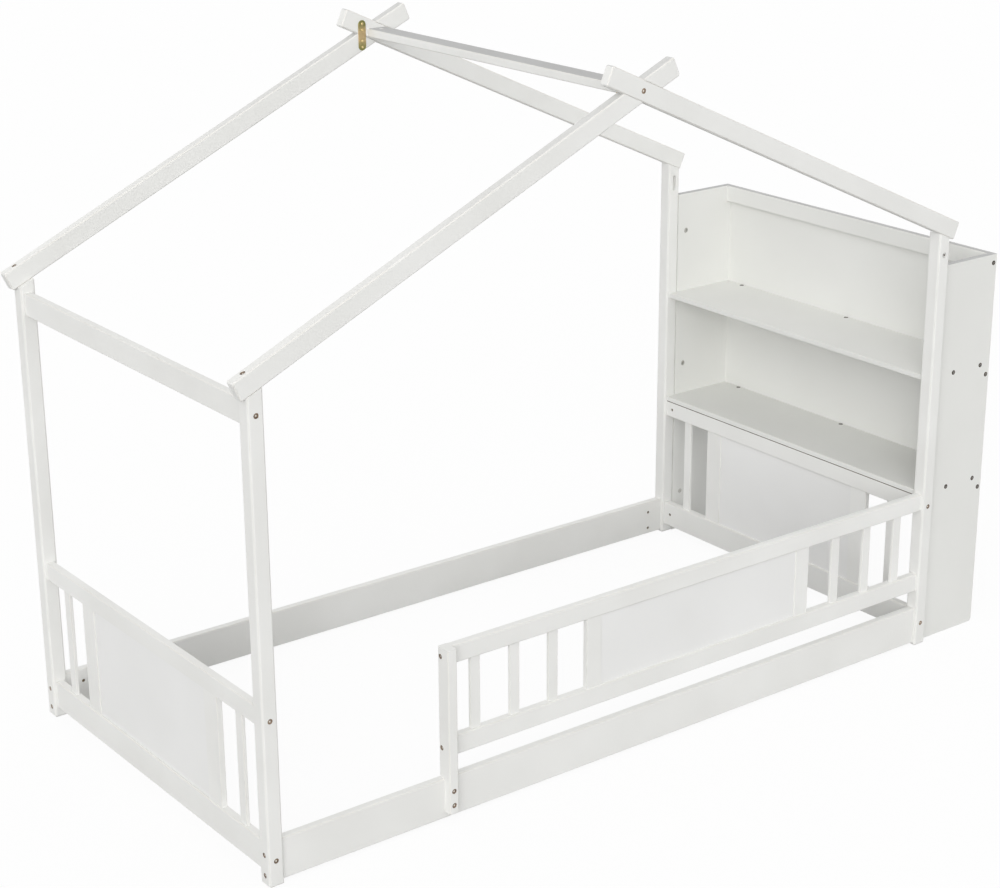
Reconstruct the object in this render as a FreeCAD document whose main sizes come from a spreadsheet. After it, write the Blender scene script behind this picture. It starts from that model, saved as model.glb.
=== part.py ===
# House bed: a low bed frame with a gabled roof frame, a guard on one side and a bookcase behind the head.
# Millimetres, +Z up, +X towards the head, the guarded side faces -Y.
# The origin is on the floor under the middle.
import FreeCAD, Part
import math
import os
import re
import Sketcher
from FreeCAD import Placement, Rotation, Vector

# Driving sizes, each a cell of the sheet with its name and what it measures
SIZES = (
    ("bed_width", 1060, "over the corner posts"),
    ("clear_length", 1970, "between foot and head posts"),
    ("post_side", 38, "square section of the corner posts"),
    ("post_round", 6, "long edges of the posts"),
    ("post_foot_bevel", 4, "lower ends of the posts"),
    ("eave_height", 1113, "post top at the outer face"),
    ("roof_pitch", 24.5, "slope of the roof in degrees"),
    ("rafter_deep", 46, "rafter, square to the slope"),
    ("rafter_thick", 26, "rafter, across the bed"),
    ("rafter_bevel", 2.5, "long edges of the rafters"),
    ("rafter_end_bevel", 3, "corners of the rafter ends"),
    ("rafter_tail", 105, "rafter past the lap's centre"),
    ("eave_overhang", 13, "rafter past the post's outer face, at its underside"),
    ("rail_thick", 20, "all rails, the tie beam and the ridge beam"),
    ("rail_bevel", 2, "long edges of the rails"),
    ("side_rail_tall", 100, "side rail"),
    ("side_rail_low", 7, "side rail above the floor"),
    ("top_rail_tall", 46, "top rail of the footboard and headboard"),
    ("top_rail_low", 372, "underside of that rail above the floor"),
    ("bottom_rail_tall", 72, "bottom rail of the footboard and headboard"),
    ("bottom_rail_low", 26, "underside of that rail above the floor"),
    ("tie_tall", 55, "tie beam between the foot posts"),
    ("tie_drop", 13, "top of the tie beam below the post top"),
    ("ridge_wide", 55, "ridge beam, along the bed"),
    ("spindle_wide", 28, "spindle, face width"),
    ("spindle_thick", 8, "spindle, through the board"),
    ("spindle_bevel", 1.2, "long edges of the spindles"),
    ("stile_wide", 57, "stile of the footboard and headboard"),
    ("stile_thick", 14, "stiles, through the board"),
    ("stile_bevel", 1.2, "long edges of the stiles"),
    ("panel_thick", 8, "panels between the stiles"),
    ("board_gap", 74, "clear gap beside the spindles of the footboard and headboard"),
    ("mortise_deep", 10, "spindle and stile ends in the rails"),
    ("groove_deep", 8, "panel edges in the rails and stiles"),
    ("tenon_deep", 10, "rail ends in the posts"),
    ("tenon_thick", 10, "stub tenon with rounded ends"),
    ("tenon_shoulder", 4.5, "rail above and below its tenon"),
    ("fit", 0.2, "room round a piece in its seat"),
    ("guard_start", 433, "way in between the foot post and the guard post"),
    ("guard_post_wide", 25, "guard post, along the bed"),
    ("guard_post_bevel", 2.5, "long edges of the guard post"),
    ("guard_lip", 20, "guard post in front of the side rail"),
    ("guard_lip_low", 23, "lower end of the guard post above the floor"),
    ("guard_high", 430, "top of the guard above the floor"),
    ("guard_top_tall", 45, "top rail of the guard"),
    ("guard_bottom_tall", 48, "bottom rail of the guard"),
    ("guard_bottom_low", 157, "underside of that rail above the floor"),
    ("guard_foot_gap", 54, "clear gap between the guard post and the first spindle"),
    ("guard_head_gap", 65, "clear gap between the last spindle and the head post"),
    ("guard_gap", 84, "clear gap between the spindles of the guard"),
    ("guard_stile_wide", 45, "stile of the guard"),
    ("guard_bolt_low", 43, "lower bolt of the guard post above the floor"),
    ("guard_bolt_rise", 36, "between the two bolts of the guard post"),
    ("case_deep", 206, "bookcase behind the head posts"),
    ("case_tall", 1036, "bookcase sides"),
    ("case_side_thick", 18, "bookcase sides"),
    ("case_corner_round", 10, "lower back corner of the bookcase sides"),
    ("shelf_thick", 14, "bookcase shelves"),
    ("shelf_bevel", 1.2, "edges of the shelves and the bookcase rails"),
    ("upper_shelf_low", 734, "underside of the upper shelf above the floor"),
    ("case_rail_tall", 46, "back rails of the bookcase"),
    ("case_rail_thick", 14, "back rails of the bookcase"),
    ("back_thick", 4, "back panel of the bookcase"),
    ("bolt_wide", 6, "bolt shank"),
    ("bolt_head_wide", 13, "bolt head"),
    ("bolt_head_tall", 4.5, "bolt head"),
    ("bolt_play", 0.25, "room round a bolt in its hole"),
    ("bolt_past", 3, "bolt past its barrel nut"),
    ("head_recess", 0.8, "bolt head below the surface"),
    ("side_bolt_low", 24, "lower bolt of the side rails above the floor"),
    ("side_bolt_rise", 50, "between the two bolts of a side rail's end"),
    ("side_nut_set", 49, "barrel nut from the end of a side rail"),
    ("rail_nut_set", 23, "barrel nut from the end of the other rails"),
    ("nut_wide", 10, "barrel nut"),
    ("nut_long", 16, "barrel nut"),
    ("insert_wide", 10, "insert nut"),
    ("insert_long", 14, "insert nut"),
    ("cam_wide", 15, "cam lock"),
    ("cam_deep", 12, "cam lock in the bookcase side"),
    ("cam_set", 30, "cam lock from the front edge of the bookcase side"),
    ("cam_bolt_wide", 6, "cam bolt"),
    ("cam_bolt_grip", 12, "cam bolt in the post"),
    ("low_cam_height", 119, "lowest cam lock above the floor"),
    ("middle_cam_height", 524, "middle cam lock above the floor"),
    ("high_cam_drop", 109, "highest cam lock below the top of the bookcase side"),
    ("screw_wide", 4, "bookcase screw"),
    ("screw_long", 40, "bookcase screw"),
    ("front_screw_set", 68, "front shelf screw from the front edge of the bookcase side"),
    ("rear_screw_set", 171, "rear shelf screw from the front edge of the bookcase side"),
    ("shelf_screw_set", 67, "outer shelf screw from the end of the shelf"),
    ("plate_wide", 22, "apex plate"),
    ("plate_tall", 76, "apex plate"),
    ("plate_thick", 2, "apex plate"),
    ("plate_set", 44, "apex plate to the foot side of the lap's centre"),
    ("plate_drop", 5, "middle of the apex plate below the lap's centre"),
    ("plate_inner_screw", 14, "inner screws of the apex plate from its middle"),
    ("plate_outer_screw", 29, "outer screws of the apex plate from its middle"),
    ("plate_screw_wide", 3.5, "apex plate screw"),
    ("plate_screw_head_wide", 7, "apex plate screw"),
    ("plate_screw_head_tall", 2, "apex plate screw"),
    ("plate_screw_long", 16, "apex plate screw under its head"),
)

# Places that follow from the sizes
PLACES = {
    "rail_inset": "(post_side - rail_thick) / 2",
    "eave_reach": "eave_overhang + (rafter_deep - rafter_end_bevel) * sin(roof_pitch)",
    "foot_face": "(eave_reach - 2 * post_side - clear_length - case_deep) / 2",
    "foot_line": "foot_face + post_side / 2",
    "foot_inner": "foot_face + post_side",
    "head_inner": "foot_inner + clear_length",
    "head_line": "head_inner + post_side / 2",
    "head_face": "head_inner + post_side",
    "case_back": "head_face + case_deep",
    "guard_proud": "guard_lip - rail_inset",
    "near_face": "(guard_proud - bed_width) / 2",
    "near_line": "near_face + post_side / 2",
    "near_inner": "near_face + post_side",
    "far_face": "near_face + bed_width",
    "far_line": "far_face - post_side / 2",
    "far_inner": "far_face - post_side",
    "clear_width": "bed_width - 2 * post_side",
    "half_span": "(2 * post_side + clear_length) / 2",
    "middle": "foot_face + half_span",
    "seam_height": "eave_height + post_side / 2 * tan(roof_pitch)",
    "lap_run": "(half_span + rafter_deep / 2 * sin(roof_pitch)) / cos(roof_pitch)",
    "lap_height": "eave_height + lap_run * sin(roof_pitch) + rafter_deep / 2 * cos(roof_pitch)",
    "side_rail_high": "side_rail_low + side_rail_tall",
    "top_rail_high": "top_rail_low + top_rail_tall",
    "bottom_rail_high": "bottom_rail_low + bottom_rail_tall",
    "tie_low": "eave_height - tie_drop - tie_tall",
    "tie_line": "tie_low + tie_tall / 2",
    "guard_face": "foot_inner + guard_start",
    "guard_inner": "guard_face + guard_post_wide",
    "guard_run": "head_inner - guard_inner",
    "guard_top_low": "guard_high - guard_top_tall",
    "guard_bottom_high": "guard_bottom_low + guard_bottom_tall",
    "shelf_front": "head_inner + rail_inset",
    "back_front": "case_back - back_thick",
    "case_rail_line": "back_front - case_rail_thick / 2",
    "high_cam_height": "min(case_tall; eave_height) - high_cam_drop",
    "plate_line": "middle - plate_set",
    "plate_height": "lap_height - plate_drop",
}

# Each way a hole can run: the axis and the angle that turn +Z into it
WAYS = {
    "+x": ((0, 1, 0), "90"),
    "-x": ((0, -1, 0), "90"),
    "+y": ((-1, 0, 0), "90"),
    "-y": ((1, 0, 0), "90"),
    "-z": ((1, 0, 0), "180"),
    "foot_roof": ((0, 1, 0), "180 - roof_pitch"),
    "head_roof": ((0, 1, 0), "180 + roof_pitch"),
}
TURNED_WAYS = {"+y": "-y", "-y": "+y", "head_roof": "foot_roof"}

# Fasteners, tenons and their holes have few sides, because there are many of them
SHANK_SIDES = 6
HEAD_SIDES = 8
TENON_END_SIDES = 3
PLATE_END_SIDES = 6

# Lengths closer than this are the same
SAME_LENGTH = 1e-6

doc = FreeCAD.newDocument("house_bed")
sheet = doc.addObject("Spreadsheet::Sheet", "sizes")
for row, (name, amount, note) in enumerate(SIZES, 1):
    sheet.set("A%d" % row, name)
    sheet.set("B%d" % row, str(amount))
    sheet.setAlias("B%d" % row, name)
    sheet.set("C%d" % row, note)
doc.recompute()
ALIASES = {name for name, amount, note in SIZES}
WORD = re.compile("[a-z][a-z_]*")
bases = {}
groups = {}


def formula(text):
    """Write a rule in plain size names as an expression on the sheet."""
    def swap(match):
        word = match.group(0)
        if word in PLACES:
            return "(" + formula(PLACES[word]) + ")"
        return "sizes." + word if word in ALIASES else word
    return WORD.sub(swap, text)


def number(text):
    return float(sheet.evalExpression(formula(text)))


def point_at(point):
    return Vector(*[number(text) for text in point])


def turn_of(way):
    axis, angle = WAYS[way]
    return Rotation(Vector(*axis), number(angle))


def direction(way):
    return turn_of(way).multVec(Vector(0, 0, 1))


def bind(feature, path, text):
    feature.setExpression(path, formula(text))


def new_body(label, base, turned=False):
    """Start a piece at its own corner; a turned piece faces the other way round the vertical."""
    body = doc.addObject("PartDesign::Body", label)
    body.Label = label
    if turned:
        body.Placement = Placement(Vector(), Rotation(Vector(0, 0, 1), 180))
    for axis, text in zip("xyz", base):
        bind(body, "Placement.Base." + axis, text)
    bases[label] = (base, turned)
    return body


def inside(body, point):
    """Give a place of the whole bed in the piece's own coordinates."""
    base, turned = bases[body.Label]
    own = ["(%s) - (%s)" % (text, start) for text, start in zip(point, base)]
    if turned:
        own[:2] = ["(%s) - (%s)" % (start, text) for text, start in zip(point[:2], base[:2])]
    return own


def new_sketch(body, role, level="0"):
    sketch = body.newObject("Sketcher::SketchObject", "sketch")
    plane = [item for item in body.Origin.OriginFeatures if item.Role == role][0]
    sketch.AttachmentSupport = [(plane, "")]
    sketch.MapMode = "FlatFace"
    bind(sketch, "AttachmentOffset.Base.z", level)
    return sketch


def pin(sketch, index, place, point):
    """Hold one point of a sketch by its two distances from the sketch's origin."""
    for kind, text in zip(("DistanceX", "DistanceY"), point):
        made = sketch.addConstraint(Sketcher.Constraint(kind, -1, 1, index, place, number(text)))
        bind(sketch, "Constraints[%d]" % made, text)


def polygon(body, role, points, level="0"):
    sketch = new_sketch(body, role, level)
    spots = [Vector(number(across), number(up), 0) for across, up in points]
    following = spots[1:] + spots[:1]
    for start, end in zip(spots, following):
        sketch.addGeometry(Part.LineSegment(start, end), False)
    for index in range(len(spots)):
        sketch.addConstraint(Sketcher.Constraint("Coincident", index, 2, (index + 1) % len(spots), 1))
    for index, point in enumerate(points):
        pin(sketch, index, 1, point)
    return sketch


def pill(body, role, centre, tall, wide, end_sides, level="0"):
    """Sketch an upright slot shape, each rounded end in a few straight sides."""
    across, up = centre
    radius = "(%s) / 2" % wide
    reach = "((%s) / 2 - %s)" % (tall, radius)
    points = []
    for end, turn in (("+", 0), ("-", 180)):
        for step in range(end_sides + 1):
            angle = "%d + 180 * %d / %d" % (turn, step, end_sides)
            points.append(("%s + %s * cos(%s)" % (across, radius, angle),
                           "%s %s %s + %s * sin(%s)" % (up, end, reach, radius, angle)))
    return polygon(body, role, points, level)


def extrude(body, kind, sketch, length, backwards=False):
    feature = body.newObject("PartDesign::" + kind, kind.lower())
    feature.Profile = sketch
    feature.Reversed = backwards
    bind(feature, "Length", length)
    return feature


def soften(body, chosen, kind, size):
    """Fillet or chamfer those edges of the piece, as it is so far, that the test picks."""
    doc.recompute()
    base = body.Tip
    names = ["Edge%d" % place for place, edge in enumerate(base.Shape.Edges, 1) if chosen(edge)]
    feature = body.newObject("PartDesign::" + kind, kind.lower())
    feature.Base = (base, names)
    bind(feature, "Radius" if kind == "Fillet" else "Size", size)
    doc.recompute()


def runs_along(vector):
    """Test for straight edges along a direction."""
    def test(edge):
        straight = edge.Curve.TypeId == "Part::GeomLine"
        return straight and edge.Curve.Direction.cross(vector).Length < SAME_LENGTH
    return test


def at_height(height):
    def test(edge):
        return all(abs(corner.Z - height) < SAME_LENGTH for corner in edge.Vertexes)
    return test


def board(label, base, lengths, along, bevel=None):
    """A straight board: its section drawn square to its length, then its long edges bevelled."""
    body = new_body(label, base)
    role = {"x": "YZ_Plane", "y": "XZ_Plane", "z": "XY_Plane"}[along]
    wide, tall = [size for axis, size in zip("xyz", lengths) if axis != along]
    sketch = polygon(body, role, (("0", "0"), (wide, "0"), (wide, tall), ("0", tall)))
    extrude(body, "Pad", sketch, lengths["xyz".index(along)], along == "y")
    if bevel:
        length_way = Vector(along == "x", along == "y", along == "z")
        soften(body, runs_along(length_way), "Chamfer", bevel)
    return body


def drill(body, start, way, wide, deep, sides=SHANK_SIDES):
    """Bore a hole from a place of the whole bed."""
    feature = body.newObject("PartDesign::SubtractivePrism", "bore")
    feature.Polygon = sides
    turned = bases[body.Label][1]
    axis, angle = WAYS[TURNED_WAYS[way] if turned else way]
    feature.Placement = Placement(Vector(), Rotation(Vector(*axis), number(angle)))
    for letter, text in zip("xyz", inside(body, start)):
        bind(feature, "Placement.Base." + letter, text)
    bind(feature, "Placement.Rotation.Angle", angle)
    bind(feature, "Circumradius", "(%s) / 2" % wide)
    bind(feature, "Height", deep)


def cut_box(body, corner, lengths):
    """Cut a square mortise or groove from a place of the whole bed."""
    feature = body.newObject("PartDesign::SubtractiveBox", "seat")
    for letter, text in zip("xyz", inside(body, corner)):
        bind(feature, "Placement.Base." + letter, text)
    for size, text in zip(("Length", "Width", "Height"), lengths):
        bind(feature, size, text)


def tenon(body, face, centre, tall, way):
    """Stub tenon on a rail's end, standing out along the way, or its mortise."""
    across = way[1] == "x"
    own = inside(body, centre)
    level = own[0] if across else "-1 * (%s)" % own[1]
    middle = (own[1] if across else own[0], own[2])
    role = "YZ_Plane" if across else "XZ_Plane"
    sketch = pill(body, role, middle, face(tall), face("tenon_thick"), TENON_END_SIDES, level)
    backwards = way in ("-x", "+y")
    if face is tenon_size:
        extrude(body, "Pad", sketch, "tenon_deep", backwards)
    else:
        extrude(body, "Pocket", sketch, "tenon_deep + fit", not backwards)


def tenon_size(text):
    return text if text == "tenon_thick" else "(%s) - 2 * tenon_shoulder" % text


def mortise_size(text):
    return "%s + 2 * fit" % tenon_size(text)


def join(rail, post, centre, tall, way):
    """Rail end and post: a stub tenon and its mortise."""
    tenon(rail, tenon_size, centre, tall, way)
    tenon(post, mortise_size, centre, tall, way)


def bar(wide, long, sides=SHANK_SIDES):
    """Straight length of a fastener, upwards from the origin."""
    radius = number("(%s) / 2" % wide)
    steps = [2 * math.pi * step / sides for step in range(sides + 1)]
    corners = [Vector(radius * math.cos(step), radius * math.sin(step), 0) for step in steps]
    return Part.Face(Part.makePolygon(corners)).extrude(Vector(0, 0, number(long)))


def put(shape, point, way):
    """Lay a fastener's own axis along the way from a point."""
    shape.Placement = Placement(point, turn_of(way))
    return shape


def keep(group, shape):
    groups.setdefault(group, []).append(shape)


def bolt_line(group, mouth, way, reach, pieces):
    """Counterbore the first piece, drill all of them and put the bolt in."""
    drill(pieces[0], mouth, way, "bolt_head_wide + 2 * bolt_play", "bolt_head_tall + head_recess", HEAD_SIDES)
    for piece in pieces:
        drill(piece, mouth, way, "bolt_wide + 2 * bolt_play", "%s + bolt_play" % reach)
    if group is None:
        return
    head = bar("bolt_head_wide", "bolt_head_tall", HEAD_SIDES)
    bolt = head.fuse(bar("bolt_wide", "%s - head_recess" % reach)).removeSplitter()
    keep(group, put(bolt, point_at(mouth) + direction(way) * number("head_recess"), way))


def barrel_nut(rail, mouth, way, bolt_way):
    """Cross bore from a rail's face to the nut that its bolt screws into."""
    drill(rail, mouth, way, "nut_wide + 2 * fit", "rail_thick / 2 + nut_long / 2")
    centre = point_at(mouth) + direction(way) * number("rail_thick / 2")
    nut_start = centre - direction(way) * number("nut_long / 2")
    bore_start = centre - direction(bolt_way) * number("nut_wide / 2")
    nut = put(bar("nut_wide", "nut_long"), nut_start, way)
    bore = put(bar("bolt_wide + 2 * fit", "nut_wide"), bore_start, bolt_way)
    keep("barrel_nuts", nut.cut(bore))


def insert_nut(piece, mouth, way):
    """Threaded sleeve, flush with the face that it is set in."""
    drill(piece, mouth, way, "insert_wide + 2 * fit", "insert_long")
    nut = bar("insert_wide", "insert_long").cut(bar("bolt_wide + 2 * fit", "insert_long"))
    keep("insert_nuts", put(nut, point_at(mouth), way))


def screw_line(mouth, way, pieces):
    """Wood screw, flush with the face of the first piece."""
    for piece in pieces:
        drill(piece, mouth, way, "screw_wide + 2 * fit", "screw_long + fit")
    keep("bookcase_screws", put(bar("screw_wide", "screw_long"), point_at(mouth), way))


# Corner posts: square, tops cut to the roof's slope, lower ends softened
def corner_post(label, x, y, at_head):
    body = new_body(label, (x, y, "0"))
    inner_top = "eave_height + post_side * tan(roof_pitch)"
    tops = (inner_top, "eave_height") if at_head else ("eave_height", inner_top)
    corners = (("0", "0"), ("post_side", "0"), ("post_side", tops[1]), ("0", tops[0]))
    sketch = polygon(body, "XZ_Plane", corners)
    extrude(body, "Pad", sketch, "post_side", True)
    soften(body, at_height(0), "Chamfer", "post_foot_bevel")
    soften(body, runs_along(Vector(0, 0, 1)), "Fillet", "post_round")
    return body


foot_post_near = corner_post("foot_post_near", "foot_face", "near_face", False)
foot_post_far = corner_post("foot_post_far", "foot_face", "far_inner", False)
head_post_near = corner_post("head_post_near", "head_inner", "near_face", True)
head_post_far = corner_post("head_post_far", "head_inner", "far_inner", True)

# Side rails: boards on edge, two bolts at each end along the rail
SIDE_REACH = "post_side + side_nut_set + nut_wide / 2 + bolt_past"
SIDES = (
    ("near", "near_line", foot_post_near, head_post_near, "-y", 1),
    ("far", "far_line", foot_post_far, head_post_far, "+y", -1),
)
side_rails = {}
for side, line, foot_post, head_post, nut_way, inward in SIDES:
    rail = board("side_rail_" + side, ("foot_inner", "%s - rail_thick / 2" % line, "side_rail_low"),
                 ("clear_length", "rail_thick", "side_rail_tall"), "x", "rail_bevel")
    side_rails[side] = rail
    inner_face = "%s + %d * rail_thick / 2" % (line, inward)
    for step in range(2):
        height = "side_bolt_low + %d * side_bolt_rise" % step
        bolt_line("side_rail_bolts", ("foot_face", line, height), "+x", SIDE_REACH, (foot_post, rail))
        barrel_nut(rail, ("foot_inner + side_nut_set", inner_face, height), nut_way, "+x")
        bolt_line("side_rail_bolts", ("head_face", line, height), "-x", SIDE_REACH, (head_post, rail))
        barrel_nut(rail, ("head_inner - side_nut_set", inner_face, height), nut_way, "-x")

RAIL_REACH = "post_side + rail_nut_set + nut_wide / 2 + bolt_past"


def cross_rail(label, x_line, low, tall, posts, nut_way):
    """Rail across the bed between two posts: stub tenons, a bolt and a barrel nut at each end."""
    line = "%s + %s / 2" % (low, tall)
    rail = board(label, ("%s - rail_thick / 2" % x_line, "near_inner", low),
                 ("rail_thick", "clear_width", tall), "y", "rail_bevel")
    nut_face = "%s %s rail_thick / 2" % (x_line, "+" if nut_way == "-x" else "-")
    join(rail, posts[0], (x_line, "near_inner", line), tall, "-y")
    join(rail, posts[1], (x_line, "far_inner", line), tall, "+y")
    bolt_line("frame_bolts", (x_line, "near_face", line), "+y", RAIL_REACH, (posts[0], rail))
    barrel_nut(rail, (nut_face, "near_inner + rail_nut_set", line), nut_way, "+y")
    bolt_line("frame_bolts", (x_line, "far_face", line), "-y", RAIL_REACH, (posts[1], rail))
    barrel_nut(rail, (nut_face, "far_inner - rail_nut_set", line), nut_way, "-y")
    return rail


def upright(label, corner, wide, thick, along, rails, bevel):
    """Spindle or stile between two rails, its ends let into both; along is the rails' own axis."""
    low_rail, low_top, high_rail, high_low = rails
    rise = "%s - (%s) + 2 * mortise_deep" % (high_low, low_top)
    foot = "%s - mortise_deep" % low_top
    lengths = (wide, thick) if along == "x" else (thick, wide)
    piece = board(label, (corner[0], corner[1], foot), (lengths[0], lengths[1], rise), "z", bevel)
    for rail, low in ((low_rail, foot), (high_rail, high_low)):
        cut_box(rail, ("%s - fit" % corner[0], "%s - fit" % corner[1], low),
                ("%s + 2 * fit" % lengths[0], "%s + 2 * fit" % lengths[1], "mortise_deep"))
    return piece


def panel(label, corner, wide, along, rails, stiles):
    """Panel held in grooves of two rails and two stiles."""
    low_rail, low_top, high_rail, high_low = rails
    rise = "%s - (%s) + 2 * groove_deep" % (high_low, low_top)
    foot = "%s - groove_deep" % low_top
    lengths = (wide, "panel_thick") if along == "x" else ("panel_thick", wide)
    board(label, (corner[0], corner[1], foot), (lengths[0], lengths[1], rise), "z")
    room = ("0", "fit") if along == "x" else ("fit", "0")
    start = ["%s - %s" % (text, gap) for text, gap in zip(corner, room)]
    spread = ["%s + 2 * %s" % (text, gap) for text, gap in zip(lengths, room)]
    for rail, low in ((low_rail, foot), (high_rail, high_low)):
        cut_box(rail, (start[0], start[1], low), (spread[0], spread[1], "groove_deep"))
    for stile in stiles:
        cut_box(stile, (start[0], start[1], foot), (spread[0], spread[1], rise))


# Footboard and headboard: two rails with a panel in the middle and a spindle beside it on each side
def end_board(name, x_line, posts, nut_way):
    low_rail = cross_rail(name + "_bottom_rail", x_line, "bottom_rail_low", "bottom_rail_tall",
                          posts, nut_way)
    high_rail = cross_rail(name + "_top_rail", x_line, "top_rail_low", "top_rail_tall",
                           posts, nut_way)
    rails = (low_rail, "bottom_rail_high", high_rail, "top_rail_low")
    spindle_face = "%s - spindle_thick / 2" % x_line
    stile_face = "%s - stile_thick / 2" % x_line
    stile_set = "2 * board_gap + spindle_wide"
    upright(name + "_spindle_near", (spindle_face, "near_inner + board_gap"),
            "spindle_wide", "spindle_thick", "y", rails, "spindle_bevel")
    upright(name + "_spindle_far", (spindle_face, "far_inner - board_gap - spindle_wide"),
            "spindle_wide", "spindle_thick", "y", rails, "spindle_bevel")
    near_stile = upright(name + "_stile_near", (stile_face, "near_inner + %s" % stile_set),
                         "stile_wide", "stile_thick", "y", rails, "stile_bevel")
    far_stile = upright(name + "_stile_far", (stile_face, "far_inner - (%s) - stile_wide" % stile_set),
                        "stile_wide", "stile_thick", "y", rails, "stile_bevel")
    panel(name + "_panel",
          ("%s - panel_thick / 2" % x_line, "near_inner + %s + stile_wide - groove_deep" % stile_set),
          "clear_width - 2 * (%s + stile_wide - groove_deep)" % stile_set,
          "y", rails, (near_stile, far_stile))


foot_posts = (foot_post_near, foot_post_far)
head_posts = (head_post_near, head_post_far)
end_board("footboard", "foot_line", foot_posts, "-x")
end_board("headboard", "head_line", head_posts, "+x")

# Tie beam between the foot posts; the head posts keep the same mortise and bolt hole unused
cross_rail("foot_tie_beam", "foot_line", "tie_low", "tie_tall", foot_posts, "-x")
SPARE_SEATS = (
    (head_post_near, "near_inner", "near_face", "-y", "+y"),
    (head_post_far, "far_inner", "far_face", "+y", "-y"),
)
for post, inner, outer, tenon_way, bolt_way in SPARE_SEATS:
    tenon(post, mortise_size, ("head_line", inner, "tie_line"), "tie_tall", tenon_way)
    bolt_line(None, ("head_line", outer, "tie_line"), bolt_way, "post_side", (post,))


# Rafters: all four alike, half lapped where they cross, the ones at the head turned round
def tilted(run, rise):
    """A place along and square to the slope, as across and up."""
    across = "(%s) * cos(roof_pitch) - (%s) * sin(roof_pitch)" % (run, rise)
    up = "(%s) * sin(roof_pitch) + (%s) * cos(roof_pitch)" % (run, rise)
    return across, up


def rafter(label, base, turned):
    body = new_body(label, base, turned)
    low_end = "0 - eave_overhang / cos(roof_pitch)"
    high_end = "lap_run + rafter_tail"
    corners = ((low_end, "0"), (high_end, "0"), (high_end, "rafter_deep"), (low_end, "rafter_deep"))
    sketch = polygon(body, "XZ_Plane", [tilted(run, rise) for run, rise in corners])
    extrude(body, "Pad", sketch, "rafter_thick", True)
    soften(body, runs_along(Vector(0, 1, 0)), "Chamfer", "rafter_end_bevel")
    across = runs_along(Vector(0, 1, 0))
    soften(body, lambda edge: not across(edge), "Chamfer", "rafter_bevel")
    lean = "rafter_deep / 2 / tan(2 * roof_pitch)"
    half = "rafter_deep / 2 / sin(2 * roof_pitch)"
    notch = (("lap_run + %s - %s" % (lean, half), "0"),
             ("lap_run + %s + %s" % (lean, half), "0"),
             ("lap_run - %s + %s" % (lean, half), "rafter_deep"),
             ("lap_run - %s - %s" % (lean, half), "rafter_deep"))
    lap = polygon(body, "XZ_Plane", [tilted(run, rise) for run, rise in notch])
    extrude(body, "Pocket", lap, "rafter_thick / 2")
    return body


foot_rafters = []
head_rafters = []
GABLES = (
    ("near", "near_face", foot_post_near, head_post_near),
    ("far", "far_face - rafter_thick", foot_post_far, head_post_far),
)
for side, start, foot_post, head_post in GABLES:
    line = "%s + rafter_thick / 2" % start
    foot_rafter = rafter("rafter_foot_" + side, ("foot_face", start, "eave_height"), False)
    head_base = ("head_face", "%s + rafter_thick" % start, "eave_height")
    head_rafter = rafter("rafter_head_" + side, head_base, True)
    foot_rafters.append(foot_rafter)
    head_rafters.append(head_rafter)
    mouth_height = "seam_height + rafter_deep * cos(roof_pitch)"
    rafter_reach = "rafter_deep + insert_long"
    bolt_line("rafter_bolts", ("foot_line - rafter_deep * sin(roof_pitch)", line, mouth_height), "foot_roof",
              rafter_reach, (foot_rafter, foot_post))
    insert_nut(foot_post, ("foot_line", line, "seam_height"), "foot_roof")
    bolt_line("rafter_bolts", ("head_line + rafter_deep * sin(roof_pitch)", line, mouth_height), "head_roof",
              rafter_reach, (head_rafter, head_post))
    insert_nut(head_post, ("head_line", line, "seam_height"), "head_roof")

# Ridge beam: a board laid flat between the gables, bolted through both laps
ridge_base = ("middle - ridge_wide / 2", "near_face + rafter_thick", "lap_height - rail_thick / 2")
ridge = board("ridge_beam", ridge_base,
              ("ridge_wide", "bed_width - 2 * rafter_thick", "rail_thick"), "y", "rail_bevel")
RIDGE_REACH = "rafter_thick + rail_nut_set + nut_wide / 2 + bolt_past"
bolt_line("frame_bolts", ("middle", "near_face", "lap_height"), "+y", RIDGE_REACH,
          (head_rafters[0], foot_rafters[0], ridge))
bolt_line("frame_bolts", ("middle", "far_face", "lap_height"), "-y", RIDGE_REACH,
          (foot_rafters[1], head_rafters[1], ridge))
ridge_top = "lap_height + rail_thick / 2"
barrel_nut(ridge, ("middle", "near_face + rafter_thick + rail_nut_set", ridge_top), "-z", "+y")
barrel_nut(ridge, ("middle", "far_face - rafter_thick - rail_nut_set", ridge_top), "-z", "-y")

# Apex plates: flat straps with round ends that tie the two rafters of each gable on the inside
PLATES = (
    ("near", "near_face + rafter_thick", "near_face + rafter_thick + plate_thick", "-y"),
    ("far", "far_face - rafter_thick - plate_thick", "far_face - rafter_thick - plate_thick", "+y"),
)
for place, (side, start, face, way) in enumerate(PLATES):
    plate_base = ("plate_line - plate_wide / 2", start, "plate_height - plate_tall / 2")
    plate = new_body("apex_plate_" + side, plate_base)
    plate_centre = ("plate_wide / 2", "plate_tall / 2")
    sketch = pill(plate, "XZ_Plane", plate_centre, "plate_tall", "plate_wide", PLATE_END_SIDES)
    extrude(plate, "Pad", sketch, "plate_thick", True)
    seats = (("plate_outer_screw", head_rafters), ("plate_inner_screw", head_rafters),
             ("0 - plate_inner_screw", foot_rafters), ("0 - plate_outer_screw", foot_rafters))
    for rise, rafters in seats:
        mouth = ("plate_line", face, "plate_height + %s" % rise)
        for piece in (plate, rafters[place]):
            drill(piece, mouth, way, "plate_screw_wide + 2 * fit", "plate_screw_long + fit")
        head = bar("plate_screw_head_wide", "plate_screw_head_tall")
        shank = bar("plate_screw_wide", "plate_screw_head_tall + plate_screw_long")
        head_face = point_at(mouth) - direction(way) * number("plate_screw_head_tall")
        keep("apex_plate_screws", put(head.fuse(shank).removeSplitter(), head_face, way))

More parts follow.
